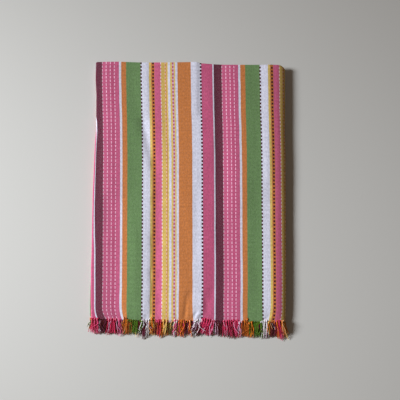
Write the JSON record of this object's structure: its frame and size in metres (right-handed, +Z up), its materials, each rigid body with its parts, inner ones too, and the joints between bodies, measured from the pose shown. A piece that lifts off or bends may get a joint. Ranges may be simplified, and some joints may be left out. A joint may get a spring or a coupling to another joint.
{
  "type": "folded aguayo carrying cloth",
  "caption": "Striped woven carrying cloth, folded flat in half and then in thirds, with knotted fringes along its two ends.",
  "frame": {"origin": "on the surface that the folded cloth lies on, under the middle of its box", "axes": "+Z up out of the face, +Y along the stripes towards the crosswise fold, so the fringes are at -Y, and +X across the stripes"},
  "size_m": [0.389, 0.5455, 0.0153],
  "materials": {
    "striped_cotton": "matt woven cotton in lengthwise stripes of purple, pink, white, orange, green and yellow",
    "fringe_yarn": "loose matt cotton yarn in the colours of the stripes"
  },
  "bodies": {
    "root": {"cloth": "striped_cotton", "outer_fringe": "fringe_yarn", "inner_fringe": "fringe_yarn"}
  },
  "joints": []
}
